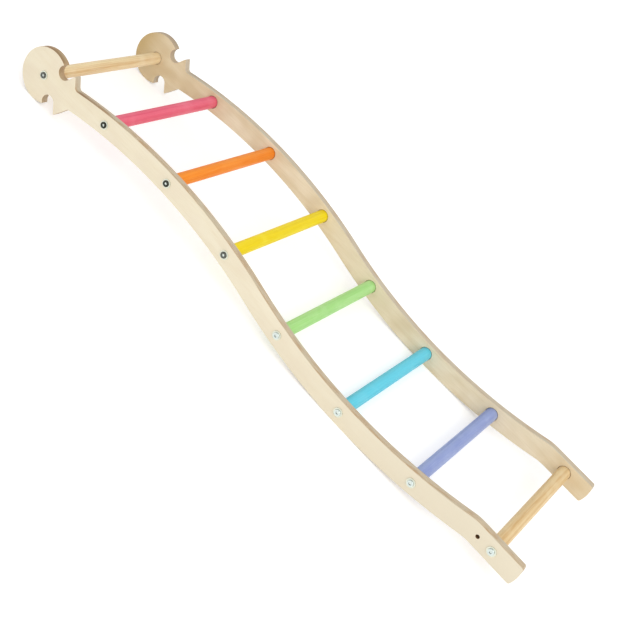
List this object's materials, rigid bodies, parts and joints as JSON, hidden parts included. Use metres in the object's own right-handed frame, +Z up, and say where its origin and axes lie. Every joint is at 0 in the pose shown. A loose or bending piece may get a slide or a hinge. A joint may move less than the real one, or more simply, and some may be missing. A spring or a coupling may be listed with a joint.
{
  "type": "children's climbing ladder",
  "caption": "Wavy wooden climbing ladder with coloured round rungs between plywood rails that end in hook-notched discs",
  "frame": {"origin": "on the floor below the middle of the ladder's overall box, as it lies on its head discs and bellies", "axes": "+X along the ladder from the hook heads to the foot, +Y across it from left rail to right rail, +Z up"},
  "size_m": [1.4104, 0.408, 0.12],
  "materials": {
    "birch_plywood": "clear satin",
    "natural_beech": "clear satin",
    "pink_wood": "coloured satin lacquer",
    "orange_wood": "coloured satin lacquer",
    "yellow_wood": "coloured satin lacquer",
    "green_wood": "coloured satin lacquer",
    "blue_wood": "coloured satin lacquer",
    "violet_wood": "coloured satin lacquer",
    "zinc_plated_steel": "bright zinc",
    "insert_steel": "yellow zinc"
  },
  "bodies": {
    "root": {"rail_left": "birch_plywood", "rail_right": "birch_plywood", "rung_1_natural_top": "natural_beech", "rung_2_pink": "pink_wood", "rung_3_orange": "orange_wood", "rung_4_yellow": "yellow_wood", "rung_5_green": "green_wood", "rung_6_blue": "blue_wood", "rung_7_violet": "violet_wood", "rung_8_natural_foot": "natural_beech", "washer_left_1": "zinc_plated_steel", "washer_left_2": "zinc_plated_steel", "washer_left_3": "zinc_plated_steel", "washer_left_4": "zinc_plated_steel", "washer_left_5": "zinc_plated_steel", "washer_left_6": "zinc_plated_steel", "washer_left_7": "zinc_plated_steel", "washer_left_8": "zinc_plated_steel", "washer_right_1": "zinc_plated_steel", "washer_right_2": "zinc_plated_steel", "washer_right_3": "zinc_plated_steel", "washer_right_4": "zinc_plated_steel", "washer_right_5": "zinc_plated_steel", "washer_right_6": "zinc_plated_steel", "washer_right_7": "zinc_plated_steel", "washer_right_8": "zinc_plated_steel", "bolt_left_1": "zinc_plated_steel", "bolt_left_2": "zinc_plated_steel", "bolt_left_3": "zinc_plated_steel", "bolt_left_4": "zinc_plated_steel", "bolt_left_5": "zinc_plated_steel", "bolt_left_6": "zinc_plated_steel", "bolt_left_7": "zinc_plated_steel", "bolt_left_8": "zinc_plated_steel", "bolt_right_1": "zinc_plated_steel", "bolt_right_2": "zinc_plated_steel", "bolt_right_3": "zinc_plated_steel", "bolt_right_4": "zinc_plated_steel", "bolt_right_5": "zinc_plated_steel", "bolt_right_6": "zinc_plated_steel", "bolt_right_7": "zinc_plated_steel", "bolt_right_8": "zinc_plated_steel", "insert_left_1": "insert_steel", "insert_left_2": "insert_steel", "insert_left_3": "insert_steel", "insert_left_4": "insert_steel", "insert_left_5": "insert_steel", "insert_left_6": "insert_steel", "insert_left_7": "insert_steel", "insert_left_8": "insert_steel", "insert_right_1": "insert_steel", "insert_right_2": "insert_steel", "insert_right_3": "insert_steel", "insert_right_4": "insert_steel", "insert_right_5": "insert_steel", "insert_right_6": "insert_steel", "insert_right_7": "insert_steel", "insert_right_8": "insert_steel"}
  },
  "joints": []
}
